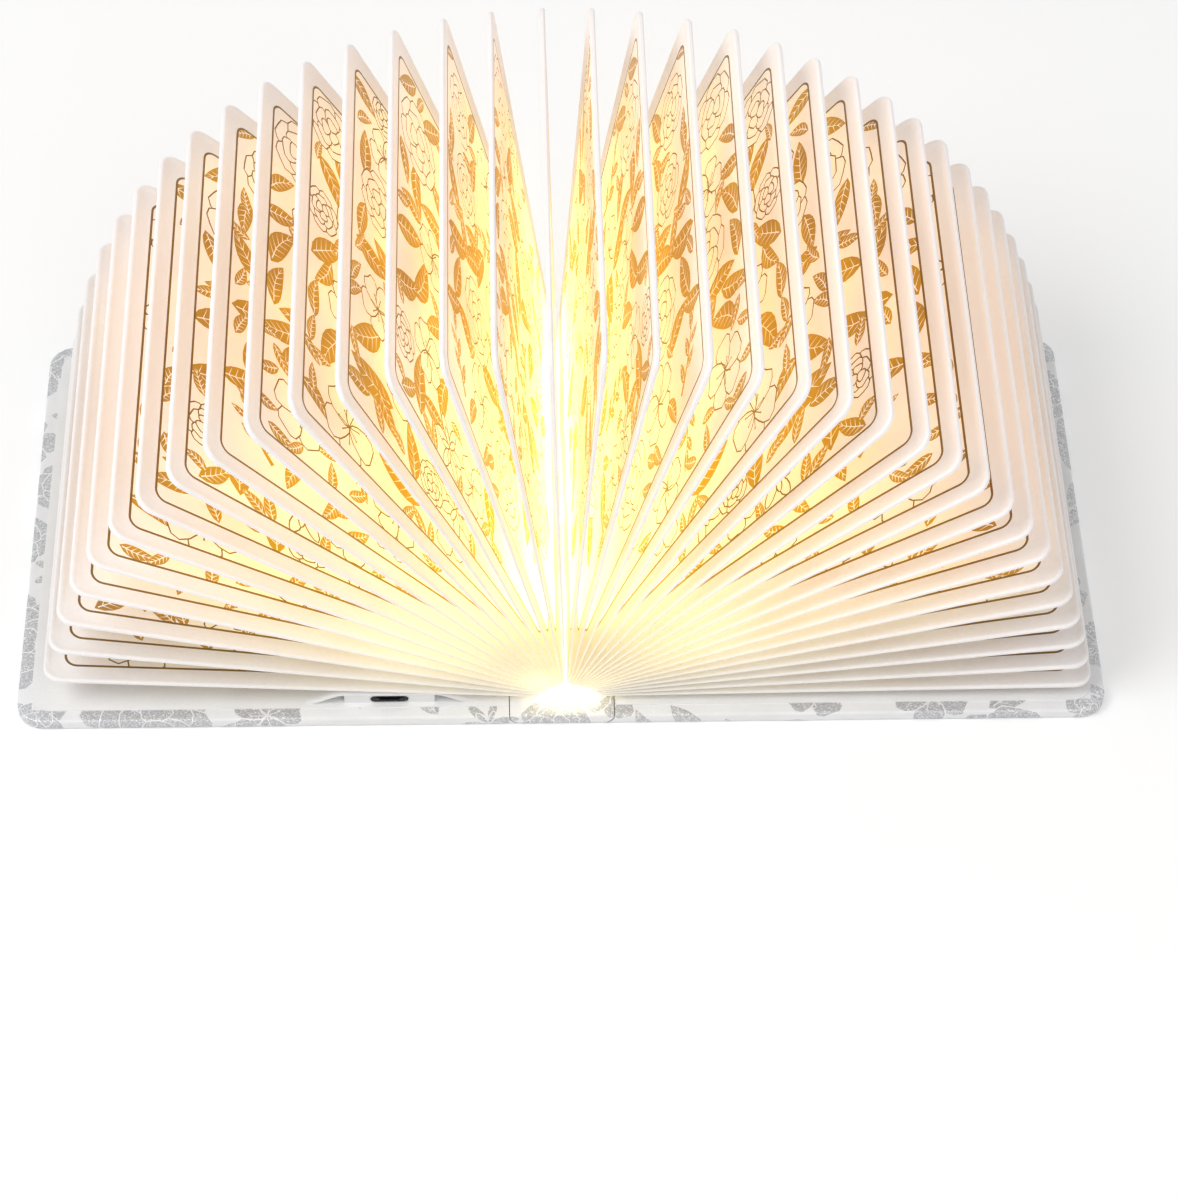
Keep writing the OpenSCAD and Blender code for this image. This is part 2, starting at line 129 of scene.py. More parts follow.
def build_surroundings():
    world = bpy.data.worlds.new("studio")
    bpy.context.scene.world = world
    world.use_nodes = True
    tree = world.node_tree
    back = tree.nodes["Background"]
    back.inputs["Color"].default_value = (1.0, 1.0, 1.0, 1.0)
    light, seen = 0.5, 1.0  # strength where it lights the lamp, and where it is seen
    tree.links.new(map_range(tree, seen_directly(tree), 0.0, 1.0, light, seen),
                   back.inputs["Strength"])

    half, under = 3.0, 0.0002  # half the floor's side and its depth under the lamp, in metres
    mesh = bpy.data.meshes.new("floor")
    corners = [(-half, -half, 0), (half, -half, 0), (half, half, 0), (-half, half, 0)]
    mesh.from_pydata(corners, [], [(0, 1, 2, 3)])
    floor = bpy.data.objects.new("floor", mesh)
    floor.location.z = -under
    bpy.context.scene.collection.objects.link(floor)
    material = bpy.data.materials.new("floor_white")
    material.use_nodes = True
    tree = material.node_tree
    shader = tree.nodes["Principled BSDF"]
    shader.inputs["Base Color"].default_value = (0.9, 0.9, 0.9, 1.0)
    shader.inputs["Roughness"].default_value = 0.6
    shader.inputs["Emission Color"].default_value = (1.0, 1.0, 1.0, 1.0)
    lift = 0.18  # glow that brings the floor up to the white background
    tree.links.new(math_node(tree, "MULTIPLY", seen_directly(tree), lift),
                   shader.inputs["Emission Strength"])
    mesh.materials.append(material)

    bpy.context.scene.view_settings.view_transform = "Standard"
    add_lamp("key_light", (-1.1, -0.5, 1.5), (0.0, 0.0, 0.05), 1.1, 16.0)
    add_lamp("fill_light", (0.9, -1.2, 1.2), (0.0, 0.0, 0.05), 1.4, 6.0)


# ---- materials
def new_shader(name):
    material = bpy.data.materials.new(name)
    material.use_nodes = True
    return material, material.node_tree, material.node_tree.nodes["Principled BSDF"]


def noise(tree, scale, detail, stretch=(1.0, 1.0, 1.0)):
    """Noise over the object's own coordinates; scale is in waves per metre."""
    place = tree.nodes.new("ShaderNodeTexCoord")
    fit = tree.nodes.new("ShaderNodeMapping")
    fit.inputs["Scale"].default_value = stretch
    tree.links.new(place.outputs["Object"], fit.inputs["Vector"])
    cloud = tree.nodes.new("ShaderNodeTexNoise")
    cloud.inputs["Scale"].default_value = scale
    cloud.inputs["Detail"].default_value = detail
    tree.links.new(fit.outputs["Vector"], cloud.inputs["Vector"])
    return cloud.outputs["Fac"]


def math_node(tree, operation, a, b):
    node = tree.nodes.new("ShaderNodeMath")
    node.operation = operation
    for socket, value in zip(node.inputs, (a, b)):
        if isinstance(value, (int, float)):
            socket.default_value = value
        else:
            tree.links.new(value, socket)
    return node.outputs[0]


def map_range(tree, value, low, high, to_low, to_high, smooth=False):
    node = tree.nodes.new("ShaderNodeMapRange")
    if smooth:
        node.interpolation_type = "SMOOTHSTEP"
    tree.links.new(value, node.inputs["Value"])
    node.inputs["From Min"].default_value = low
    node.inputs["From Max"].default_value = high
    node.inputs["To Min"].default_value = to_low
    node.inputs["To Max"].default_value = to_high
    return node.outputs["Result"]


def mix_colour(tree, share, a, b, blend="MIX"):
    node = tree.nodes.new("ShaderNodeMix")
    node.data_type = "RGBA"
    node.blend_type = blend
    colours = [s for s in node.inputs if s.type == "RGBA"]
    for socket, value in zip(colours, (a, b)):
        if isinstance(value, tuple):
            socket.default_value = (*value, 1.0)
        else:
            tree.links.new(value, socket)
    if isinstance(share, (int, float)):
        node.inputs[0].default_value = share
    else:
        tree.links.new(share, node.inputs[0])
    return [s for s in node.outputs if s.type == "RGBA"][0]


def ramp(tree, value, stops):
    node = tree.nodes.new("ShaderNodeValToRGB")
    elements = node.color_ramp.elements
    while len(elements) < len(stops):
        elements.new(0.5)
    for element, (place, colour) in zip(elements, stops):
        element.position = place
        element.color = (*colour, 1.0)
    tree.links.new(value, node.inputs["Fac"])
    return node.outputs["Color"]


def bump(tree, shader, height, strength):
    node = tree.nodes.new("ShaderNodeBump")
    node.inputs["Strength"].default_value = strength
    node.inputs["Distance"].default_value = GRAIN_DEPTH
    tree.links.new(height, node.inputs["Height"])
    tree.links.new(node.outputs["Normal"], shader.inputs["Normal"])


def plain_material(name, colour, roughness, metallic=0.0, grain=900.0, stretch=(1, 1, 1),
                   shade=0.06, relief=0.15, glow=None, glow_level=0.0):
    """A surface with fine colour variation, uneven gloss and a bumpy grain."""
    material, tree, shader = new_shader(name)
    fine = noise(tree, grain, 5.0, stretch)
    broad = noise(tree, grain / 14.0, 3.0)
    both = math_node(tree, "MULTIPLY", math_node(tree, "ADD", fine, broad), 0.5)
    dark = tuple(c * (1.0 - shade) for c in colour)
    light = tuple(min(1.0, c * (1.0 + shade / 2)) for c in colour)
    tree.links.new(ramp(tree, both, [(0.32, dark), (0.62, light)]), shader.inputs["Base Color"])
    tree.links.new(map_range(tree, fine, 0.3, 0.7, roughness * 0.85, min(1.0, roughness * 1.12)),
                   shader.inputs["Roughness"])
    shader.inputs["Metallic"].default_value = metallic
    if glow:
        shader.inputs["Emission Color"].default_value = (*glow, 1.0)
        shader.inputs["Emission Strength"].default_value = glow_level
    bump(tree, shader, fine, relief)
    return material


def uv_parts(tree, name):
    place = tree.nodes.new("ShaderNodeUVMap")
    place.uv_map = name
    split = tree.nodes.new("ShaderNodeSeparateXYZ")
    tree.links.new(place.outputs["UV"], split.inputs["Vector"])
    return split.outputs["X"], split.outputs["Y"]


def lit_paper(name, cold, near_far, glow_near_far, levels, roughness, relief, metallic=0.0,
              mottle=0.05, shine=0.5):
    """Paper or ink of a leaf, with the light of the bar at its root painted in as warm colour and
    glow.

    cold is its colour where none of that painted light comes. The three lists are stops for its
    painted lit colour, its painted glow's colour and the glow's level, from the root outwards; the
    glow also dims towards the leaf's ends. The UV map page holds the place on the leaf, and lit
    holds in U how much painted light the leaf gets."""
    material, tree, shader = new_shader(name)
    outwards, sideways = uv_parts(tree, "page")
    share, _ = uv_parts(tree, "lit")
    cloud = noise(tree, 38.0, 5.0)
    fibre = noise(tree, 700.0, 6.0)
    far = math_node(tree, "ADD", outwards, map_range(tree, cloud, 0.3, 0.7, -mottle, mottle))
    # painted light: the base colour warms towards the root as the leaf's share of the bar's light
    # grows
    base = mix_colour(tree, share, cold, ramp(tree, far, near_far))
    shade = map_range(tree, math_node(tree, "ADD", math_node(tree, "MULTIPLY", cloud, 0.5),
                                      math_node(tree, "MULTIPLY", fibre, 0.5)),
                      0.35, 0.65, 0.955, 1.0)
    grey = tree.nodes.new("ShaderNodeCombineXYZ")
    for socket in grey.inputs:
        tree.links.new(shade, socket)
    tree.links.new(mix_colour(tree, 1.0, base, grey.outputs["Vector"], "MULTIPLY"),
                   shader.inputs["Base Color"])
    # painted glow: the bar's light through the paper, set by place, by the leaf's share and dimmer
    # at the ends
    tree.links.new(ramp(tree, far, glow_near_far), shader.inputs["Emission Color"])
    level = ramp(tree, far, [(p, (v / FULL_LEVEL,) * 3) for p, v in levels])
    off_middle = math_node(tree, "ABSOLUTE", math_node(tree, "SUBTRACT", sideways, 0.5), 0.0)
    ends = map_range(tree, off_middle, 0.28, 0.41, 1.0, 0.72, smooth=True)
    strength = math_node(tree, "MULTIPLY", math_node(tree, "MULTIPLY", level, FULL_LEVEL),
                         math_node(tree, "MULTIPLY", share, ends))
    tree.links.new(math_node(tree, "MULTIPLY", strength,
                             map_range(tree, fibre, 0.3, 0.7, 0.93, 1.07)),
                   shader.inputs["Emission Strength"])
    shader.inputs["Roughness"].default_value = roughness
    shader.inputs["Metallic"].default_value = metallic
    shader.inputs["Specular IOR Level"].default_value = shine
    bump(tree, shader, fibre, relief)
    material.cycles.emission_sampling = "NONE"
    return material


def foil_material():
    """Silver-grey foil print with a fine glitter: flakes of random tone, the brightest of them near
    white as a painted glint.
    """
    material, tree, shader = new_shader("silver_foil")
    place = tree.nodes.new("ShaderNodeTexCoord")
    flakes = tree.nodes.new("ShaderNodeTexVoronoi")
    flakes.inputs["Scale"].default_value = 2600.0
    tree.links.new(place.outputs["Object"], flakes.inputs["Vector"])
    split = tree.nodes.new("ShaderNodeSeparateColor")
    tree.links.new(flakes.outputs["Color"], split.inputs["Color"])
    # flakes differ at random in tone; the near-white top stop is a painted glint
    colour = ramp(tree, split.outputs["Red"],
                  [(0.0, (0.42, 0.425, 0.44)), (0.5, (0.56, 0.565, 0.58)),
                   (0.9, (0.68, 0.685, 0.70)), (1.0, (0.95, 0.95, 0.96))])
    tree.links.new(colour, shader.inputs["Base Color"])
    tree.links.new(map_range(tree, split.outputs["Green"], 0.0, 1.0, 0.28, 0.55),
                   shader.inputs["Roughness"])
    shader.inputs["Metallic"].default_value = 0.35
    bump(tree, shader, split.outputs["Blue"], 0.35)
    return material


def build_materials():
    kinds = {}
    # the leaves' warm tints and glows are the bar's light painted into their colour and emission;
    # cold is each one's own colour
    kinds["page"] = lit_paper(
        "leaf_page", (0.90, 0.885, 0.875),
        [(0.0, (0.86, 0.78, 0.52)), (0.25, (0.87, 0.78, 0.53)), (0.5, (0.88, 0.79, 0.58)),
         (0.70, (0.89, 0.80, 0.68)), (0.85, (0.90, 0.83, 0.78))],
        [(0.0, (1.0, 0.95, 0.64)), (0.25, (1.0, 0.93, 0.50)), (0.45, (1.0, 0.91, 0.46)),
         (0.60, (1.0, 0.85, 0.48)), (0.72, (1.0, 0.79, 0.58)), (0.85, (1.0, 0.80, 0.70))],
        [(0.0, 1.6), (0.09, 1.2), (0.2, 0.9), (0.35, 0.66), (0.5, 0.54), (0.70, 0.38),
         (0.85, 0.22)],
        0.62, 0.10, mottle=0.10)
    kinds["margin"] = lit_paper(
        "leaf_margin", (0.91, 0.895, 0.89),
        [(0.0, (0.88, 0.80, 0.62)), (0.2, (0.90, 0.85, 0.76)), (0.45, (0.91, 0.87, 0.84)),
         (0.8, (0.91, 0.88, 0.87))],
        [(0.0, (1.0, 0.93, 0.62)), (0.2, (1.0, 0.88, 0.66)), (0.45, (1.0, 0.83, 0.72)),
         (0.8, (1.0, 0.86, 0.83))],
        [(0.0, 0.7), (0.05, 0.32), (0.1, 0.22), (0.2, 0.20), (0.45, 0.18), (0.8, 0.17)],
        0.6, 0.10)
    kinds["ink"] = lit_paper(
        "leaf_gold_print", (0.36, 0.22, 0.08),
        [(0.0, (0.66, 0.42, 0.04)), (0.3, (0.62, 0.37, 0.03)), (0.6, (0.56, 0.31, 0.03)),
         (0.85, (0.42, 0.24, 0.07))],
        [(0.0, (1.0, 0.60, 0.02)), (0.4, (1.0, 0.50, 0.0)), (0.85, (1.0, 0.44, 0.01))],
        [(0.0, 0.7), (0.25, 0.32), (0.6, 0.24), (0.85, 0.11)],
        0.42, 0.06, metallic=0.15, mottle=0.12, shine=0.15)
    kinds["line"] = lit_paper(
        "leaf_bronze_line", (0.22, 0.14, 0.06),
        [(0.0, (0.46, 0.27, 0.03)), (0.25, (0.42, 0.25, 0.03)), (0.5, (0.34, 0.20, 0.035)),
         (0.85, (0.24, 0.14, 0.045))],
        [(0.0, (1.0, 0.55, 0.04)), (0.85, (1.0, 0.42, 0.08))],
        [(0.0, 0.16), (0.2, 0.10), (0.5, 0.06), (0.85, 0.01)],
        0.40, 0.04, metallic=0.2, shine=0.2)
    kinds["cover"] = plain_material("cover_paper_white", (0.86, 0.86, 0.865), 0.42, grain=1500.0,
                                    shade=0.05, relief=0.35)
    kinds["foil"] = foil_material()
    kinds["lining"] = plain_material("lining_white", (0.88, 0.875, 0.87), 0.65, grain=1200.0,
                                     shade=0.04, relief=0.2)
    kinds["greyboard"] = plain_material("greyboard", (0.50, 0.46, 0.40), 0.9, grain=700.0,
                                        shade=0.25, relief=0.6)
    kinds["bar_metal"] = plain_material("satin_metal", (0.72, 0.73, 0.75), 0.38, 0.9, 400.0,
                                        (1, 0.04, 1), 0.1, 0.1)
    kinds["circuit"] = plain_material("strip_white", (0.85, 0.84, 0.78), 0.5, grain=800.0)
    kinds["led"] = plain_material("led_phosphor", (0.95, 0.78, 0.30), 0.3, glow=(1.0, 0.80, 0.40),
                                  glow_level=4.0)
    kinds["diffuser"] = plain_material("diffuser_frosted", (0.95, 0.92, 0.78), 0.5, grain=600.0,
                                       glow=(1.0, 0.90, 0.58), glow_level=2.2)
    kinds["cap"] = plain_material("cap_frosted", (0.95, 0.92, 0.80), 0.5, grain=600.0,
                                  glow=(1.0, 0.90, 0.60), glow_level=2.2)
    kinds["lead"] = plain_material("lead_cream", (0.80, 0.77, 0.68), 0.45, grain=600.0,
                                   stretch=(0.1, 1, 1))
    kinds["magnet"] = plain_material("magnet_nickel", (0.66, 0.66, 0.68), 0.22, 1.0, 500.0)
    kinds["housing"] = plain_material("housing_white", (0.84, 0.84, 0.83), 0.5, grain=1100.0,
                                      shade=0.03, relief=0.15)
    kinds["cell"] = plain_material("cell_foil", (0.60, 0.61, 0.64), 0.35, 0.8, 300.0, shade=0.15,
                                   relief=0.4)
    kinds["mask"] = plain_material("solder_mask", (0.02, 0.14, 0.06), 0.35, grain=900.0, shade=0.3)
    kinds["steel"] = plain_material("socket_steel", (0.55, 0.56, 0.58), 0.3, 1.0, 900.0,
                                    (1, 0.1, 1))
    kinds["black"] = plain_material("socket_black", (0.012, 0.012, 0.014), 0.28, grain=1200.0,
                                    shade=0.3, relief=0.1)
    kinds["rim"] = plain_material("socket_rim", (0.70, 0.68, 0.66), 0.35, grain=900.0)
    return kinds


# ---- drawn ornament
class Drawing:
    """Shapes in painting order. Each has points, polygons over them, and a tone.

    ink is the tone of leaves and stems, and paper that of their veins. Flowers have
    petals of the tone petal with lines of the tone edge."""

    def __init__(self, paper, ink, petal, edge):
        self.paper = paper
        self.ink = ink
        self.petal = petal
        self.edge = edge
        self.shapes = []

    def fill(self, points, tone):
        self.shapes.append((points, [list(range(len(points)))], tone))

    def stroke(self, points, width, tone, closed=False, taper=False):
        """A line of short quads along the points."""
        count = len(points)
        sides = []
        for k, p in enumerate(points):
            before = points[(k - 1) % count] if closed or k else p
            after = points[(k + 1) % count] if closed or k < count - 1 else p
            d = Vector(after) - Vector(before)
            if d.length < 1e-6:
                d = Vector((1.0, 0.0))
            d.normalize()
            half = width / 2
            if taper:
                half *= 1.0 - 0.8 * k / (count - 1)
            normal = Vector((-d.y, d.x)) * half
            sides.append((Vector(p) - normal, Vector(p) + normal))
        flat = [tuple(p) for pair in sides for p in pair]
        quads = []
        for k in range(count if closed else count - 1):
            n = (k + 1) % count
            quads.append([2 * k, 2 * n, 2 * n + 1, 2 * k + 1])
        self.shapes.append((flat, quads, tone))


def turned(points, angle, place):
    """The points turned about the origin and moved to a place."""
    c, s = math.cos(angle), math.sin(angle)
    return [(place[0] + x * c - y * s, place[1] + x * s + y * c) for x, y in points]


def leaf_outline(length, width, bend, steps=7):
    """Pointed leaf along +X, bent sideways by bend."""
    def spine(t):
        return (length * t, bend * length * math.sin(math.pi * t) * 0.5)

    def half(t):
        return width / 2 * math.sin(math.pi * t ** 0.82) ** 0.85
    up = [(spine(k / steps)[0], spine(k / steps)[1] + half(k / steps)) for k in range(steps + 1)]
    down = [(spine(k / steps)[0], spine(k / steps)[1] - half(k / steps))
            for k in range(steps - 1, 0, -1)]
    return up + down, spine, half


def draw_leaf(art, place, angle, length, width, bend, veins, line):
    """Leaf of ink with a midrib of this line width and pairs of veins left bare."""
    outline, spine, half = leaf_outline(length, width, bend)
    art.fill(turned(outline, angle, place), art.ink)
    rib = [spine(0.08 + 0.84 * k / 3) for k in range(4)]
    art.stroke(turned(rib, angle, place), line, art.paper, taper=True)
    for k in range(veins):
        t = 0.18 + 0.58 * k / max(1, veins - 1)
        x, y = spine(t)
        for side in (-1, 1):
            reach = half(t + 0.12) * 0.86
            tip = (x + length * 0.13, spine(min(1.0, t + 0.13))[1] + side * reach)
            art.stroke(turned([(x, y), tip], angle, place), line * 0.8, art.paper, taper=True)


def petal_outline(length, width, notch, rng, steps=6):
    """Petal from the flower's middle along +X, broad at the tip."""
    points = []
    for k in range(2 * steps):
        t = math.pi * 2 * k / (2 * steps)
        reach = 0.5 - 0.5 * math.cos(t)
        wide = math.sin(t) * (0.55 + 0.45 * reach) * width / 2
        dip = notch * length * math.exp(-((t - math.pi) / 0.5) ** 2)
        points.append((length * reach - dip + rng.uniform(-0.02, 0.02) * length,
                       wide * rng.uniform(0.95, 1.05)))
    return points


def draw_rings(art, place, radius, rings, rng, line, notch):
    """Flower of overlapping petals, outermost ring first."""
    start = rng.uniform(0, math.tau)
    for reach, count, broad in rings:
        start += math.pi / count
        for k in range(count):
            outline = petal_outline(radius * reach, radius * broad, notch, rng)
            angle = start + math.tau * k / count + rng.uniform(-0.08, 0.08)
            points = turned(outline, angle, place)
            art.fill(points, art.petal)
            art.stroke(points, line, art.edge, closed=True)


def draw_rose(art, place, radius, rng, line):
    draw_rings(art, place, radius, [(1.0, 6, 1.05), (0.70, 5, 0.85), (0.42, 3, 0.6)],
               rng, line, notch=0.08)


def draw_blossom(art, place, radius, rng, line):
    """One ring of petals and seven stamens, each a line with a dot."""
    draw_rings(art, place, radius, [(1.0, 5, 0.98)], rng, line, notch=0.12)
    start = rng.uniform(0, math.tau)
    for k in range(7):
        angle = start + math.tau * k / 7
        reach = radius * rng.uniform(0.30, 0.45)
        tip = (place[0] + reach * math.cos(angle), place[1] + reach * math.sin(angle))
        art.stroke([place, tip], line * 0.8, art.edge)
        dot = [(0.5, 0.0), (0.0, 0.5), (-0.5, 0.0), (0.0, -0.5)]
        art.fill(turned(dot, angle, tip), art.edge)


def draw_star(art, place, radius, rng, line):
    draw_rings(art, place, radius, [(1.0, 6, 0.5), (0.6, 5, 0.3)], rng, line, notch=-0.06)


def draw_sprig(art, place, radius, angle, rng, line):
    """Curved stem with a leaf on each side in turn."""
    curve = rng.uniform(-0.35, 0.35)
    stem = [(radius * (2 * t - 1), curve * radius * (1 - (2 * t - 1) ** 2))
            for t in (k / 6 for k in range(7))]
    art.stroke(turned(stem, angle, place), line * 3.4, art.ink, taper=True)
    for k in range(1, 6):
        x, y = stem[k]
        side = 1 if k % 2 else -1
        lean = math.radians(rng.uniform(32, 50)) * side
        length = radius * rng.uniform(0.7, 0.95) * (1.0 - 0.04 * k)
        draw_leaf(art, turned([(x, y)], angle, place)[0], angle + lean, length,
                  length * rng.uniform(0.34, 0.44), rng.uniform(-0.2, 0.2), 3, line * 0.8)
    draw_leaf(art, turned([stem[6]], angle, place)[0], angle + rng.uniform(-0.2, 0.2),
              radius * 0.7, radius * 0.26, 0.1, 3, line * 0.8)


# share of its radius that each motif keeps free of others, and the order of painting
ROOM = {"leaf": 0.52, "sprig": 0.80, "star": 0.80, "blossom": 0.88, "rose": 0.92}
ORDER = ("sprig", "leaf", "star", "blossom", "rose")
TRIES = 600


def scatter(art, box, sizes, seed, line, keep_out=None):
    """Fills a box with flowers, sprigs and leaves that don't cross its edge.

    sizes lists each motif's kind, radius and wanted number, the first placed first."""
    rng = random.Random(seed)
    x0, x1, y0, y1 = box
    taken = []
    for kind, radius, wanted in sizes:
        made = 0
        for _ in range(TRIES):
            if made >= wanted:
                break
            r = radius * rng.uniform(0.85, 1.15)
            if x1 - x0 < 2 * r or y1 - y0 < 2 * r:
                break
            place = (rng.uniform(x0 + r, x1 - r), rng.uniform(y0 + r, y1 - r))
            if keep_out and keep_out(*place):
                continue
            if any(math.dist(place, p) < ROOM[kind] * r + ROOM[other] * q for p, q, other in taken):
                continue
            taken.append((place, r, kind))
            made += 1
    draw = {"rose": draw_rose, "blossom": draw_blossom, "star": draw_star}
    for place, r, kind in sorted(taken, key=lambda item: ORDER.index(item[2])):
        if kind in draw:
            draw[kind](art, place, r, rng, line)
            continue
        angle = rng.uniform(0, math.tau)
        if kind == "sprig":
            draw_sprig(art, place, r * 0.72, angle, rng, line)
        else:
            start = (place[0] - r * math.cos(angle), place[1] - r * math.sin(angle))
            draw_leaf(art, start, angle, 2 * r, r * 0.8, rng.uniform(-0.25, 0.25), 5, line * 0.9)


def outlines_of_tones(points, faces, labels):
    """Lines where the label changes: {(start, end): label on the left}, straight runs joined."""
    left = {}
    for face, label in zip(faces, labels):
        for k in range(len(face)):
            left[(face[k - 1], face[k])] = label
    for a, b in list(left):
        if (b, a) not in left:
            left[(b, a)] = None
    left = {e: label for e, label in left.items() if label != left[(e[1], e[0])]}
    near = {}
    for a, b in left:
        near.setdefault(a, set()).add(b)
    for corner in list(near):
        if len(near[corner]) != 2:
            continue
        a, b = near[corner]
        (ax, ay), (bx, by), (x, y) = points[a], points[b], points[corner]
        reach = math.hypot(bx - ax, by - ay)
        off = abs((bx - ax) * (y - ay) - (by - ay) * (x - ax))
        if (a, b) in left or reach < 1e-9 or off > STRAIGHT * reach:
            continue
        left[(a, b)] = left[(a, corner)]
        left[(b, a)] = left[(b, corner)]
        for e in ((a, corner), (corner, a), (b, corner), (corner, b)):
            del left[e]
        near[a].remove(corner)
        near[b].remove(corner)
        near[a].add(b)
        near[b].add(a)
        del near[corner]
    return left


def merge_alike(points, faces, tones, band):
    """Cuts the sheet again, with lines only where the tone or the band changes."""
    labels = []
    for face, tone in zip(faces, tones):
        x = sum(points[k][0] for k in face) / len(face)
        y = sum(points[k][1] for k in face) / len(face)
        labels.append(tone + TONE_ROOM * band(x, y))
    left = outlines_of_tones(points, faces, labels)
    used = sorted({a for a, _ in left})
    number = {old: new for new, old in enumerate(used)}
    lines = [(number[a], number[b]) for a, b in left if a < b]
    made = delaunay_2d_cdt([Vector(points[k]) for k in used], lines, [], 0, 1e-6)
    out_points, out_faces, came_from = made[0], [list(f) for f in made[2]], made[3]
    place = {used[old]: new for new, group in enumerate(came_from) for old in group}
    known = {(place[a], place[b]): label for (a, b), label in left.items()}
    owner = {}
    for n, face in enumerate(out_faces):
        for k in range(len(face)):
            owner[(face[k - 1], face[k])] = n
    label_of = {}
    waiting = []
    for n, face in enumerate(out_faces):
        for k in range(len(face)):
            if (face[k - 1], face[k]) in known:
                label_of[n] = known[(face[k - 1], face[k])]
                waiting.append(n)
                break
    while waiting:
        n = waiting.pop()
        face = out_faces[n]
        for k in range(len(face)):
            back = (face[k], face[k - 1])
            beside = owner.get(back)
            if beside is not None and beside not in label_of and back not in known:
                label_of[beside] = label_of[n]
                waiting.append(beside)
    kept = [n for n in range(len(out_faces)) if label_of.get(n) is not None]
    return ([tuple(p) for p in out_points], [out_faces[n] for n in kept],
            [label_of[n] % TONE_ROOM for n in kept])


def triangulate(outline, loops, shapes, base_tone, band=lambda x, y: 0):
    """Splits a sheet into triangles along its printed shapes: points, triangles, tones.

    band numbers the strips of the sheet between its loops, which stay apart."""
    points, edges, faces, tones = [], [], [], []

    def signed_area(poly, pts):
        """Twice the area, above 0 for a polygon that runs anticlockwise."""
        return sum(pts[poly[k - 1]][0] * pts[poly[k]][1] - pts[poly[k]][0] * pts[poly[k - 1]][1]
                   for k in range(len(poly)))

    def add(pts, polys, tone):
        first = len(points)
        points.extend(Vector((p[0], p[1])) for p in pts)
        for poly in polys:
            if signed_area(poly, pts) < 0:
                poly = poly[::-1]
            faces.append([first + k for k in poly])
            tones.append(tone)

    add(outline, [list(range(len(outline)))], base_tone)
    for loop in loops:
        first = len(points)
        points.extend(Vector(p) for p in loop)
        edges.extend((first + k, first + k + 1) for k in range(len(loop) - 1))
    for pts, polys, tone in shapes:
        add(pts, polys, tone)
    made = delaunay_2d_cdt(points, edges, faces, 0, 1e-5)
    out_points, _, out_faces, _, _, origin = made
    keep, tone_of = [], []
    for face, came in zip(out_faces, origin):
        if 0 in came and len(face) >= 3:
            keep.append(list(face))
            tone_of.append(tones[max(came)])
    return merge_alike([tuple(p) for p in out_points], keep, tone_of, band)


def boundary(faces):
    """Directed edges that only one face has."""
    seen = dict.fromkeys((face[k - 1], face[k]) for face in faces for k in range(len(face)))
    return [e for e in seen if (e[1], e[0]) not in seen]


def add_object(name, points, faces, tones, materials, body, uvs=None, smooth=None):
    """A piece from points in millimetres. uvs is {map: one (u, v) for each point}."""
    mesh = bpy.data.meshes.new(name)
    mesh.from_pydata(np.asarray(points, float) * MM, [], faces)
    for material in materials:
        mesh.materials.append(material)
    mesh.polygons.foreach_set("material_index", tones)
    mesh.polygons.foreach_set("use_smooth", smooth or [True] * len(faces))
    corner = np.empty(len(mesh.loops), np.int32)
    mesh.loops.foreach_get("vertex_index", corner)
    for layer, values in (uvs or {}).items():
        data = mesh.uv_layers.new(name=layer).data
        data.foreach_set("uv", np.asarray(values, np.float32)[corner].ravel())
    mesh.update()
    piece = bpy.data.objects.new(name, mesh)
    bpy.context.scene.collection.objects.link(piece)
    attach(piece, body)
    return piece


# ---- leaves
BORDER = 7.0  # from the free edges to the border line
BORDER_ROOT = 19.0  # from the root to the border line
BORDER_R = 4.0
BORDER_ROOT_R = 3.0
RIM_WIDE = 2.8  # width of the glued rim
RIM_LIP = 0.8  # height of the rim on each side
RIM_PEAK = 0.8  # where the rim is highest, from the edge
RIM_STEPS = (0.35, RIM_PEAK, 1.7, RIM_WIDE)
ROOT_STRIP = 10.0  # plain strip at the root, which takes up the leaves' widths
BOW = 0.4  # how far a leaf bends at its fore edge
UV_SPAN = 200.0  # length that the UV map page holds
PAST_LINE = 4.0  # how far the print is drawn past the border line
CLEAR = 6.5  # width past the line that is cleared of print again
SHORT_LEAF = SHUT_TOP - ROOT_TOP  # width of the shortest leaf, which the designs are for


def rounded(x0, x1, half, radius, inner_radius=0.0, steps=6, pitch=10.0):
    """Closed outline from x0 to x1 and y -half to half, with round outer corners."""
    points = []

    def arc(cx, cy, r, start):
        if r <= 0:
            points.append((cx, cy))
            return
        for k in range(steps + 1):
            a = start + math.pi / 2 * k / steps
            points.append((cx + r * math.cos(a), cy + r * math.sin(a)))
    arc(x1 - radius, -half + radius, radius, -math.pi / 2)
    arc(x1 - radius, half - radius, radius, 0)
    arc(x0 + inner_radius, half - inner_radius, inner_radius, math.pi / 2)
    arc(x0 + inner_radius, -half + inner_radius, inner_radius, math.pi)
    fine = []
    for k, p in enumerate(points):
        q = points[(k + 1) % len(points)]
        fine.append(p)
        parts = int(math.dist(p, q) // pitch)
        for n in range(1, parts):
            fine.append((p[0] + (q[0] - p[0]) * n / parts, p[1] + (q[1] - p[1]) * n / parts))
    return fine


def edge_distance(x, y, w):
    """Distance from a leaf's three free edges, for arrays of places."""
    dx, dy = w - x, LEAF_L / 2 - np.abs(y)
    corner = LEAF_R - np.hypot(LEAF_R - dx, LEAF_R - dy)
    return np.where((dx < LEAF_R) & (dy < LEAF_R), corner, np.minimum(dx, dy))


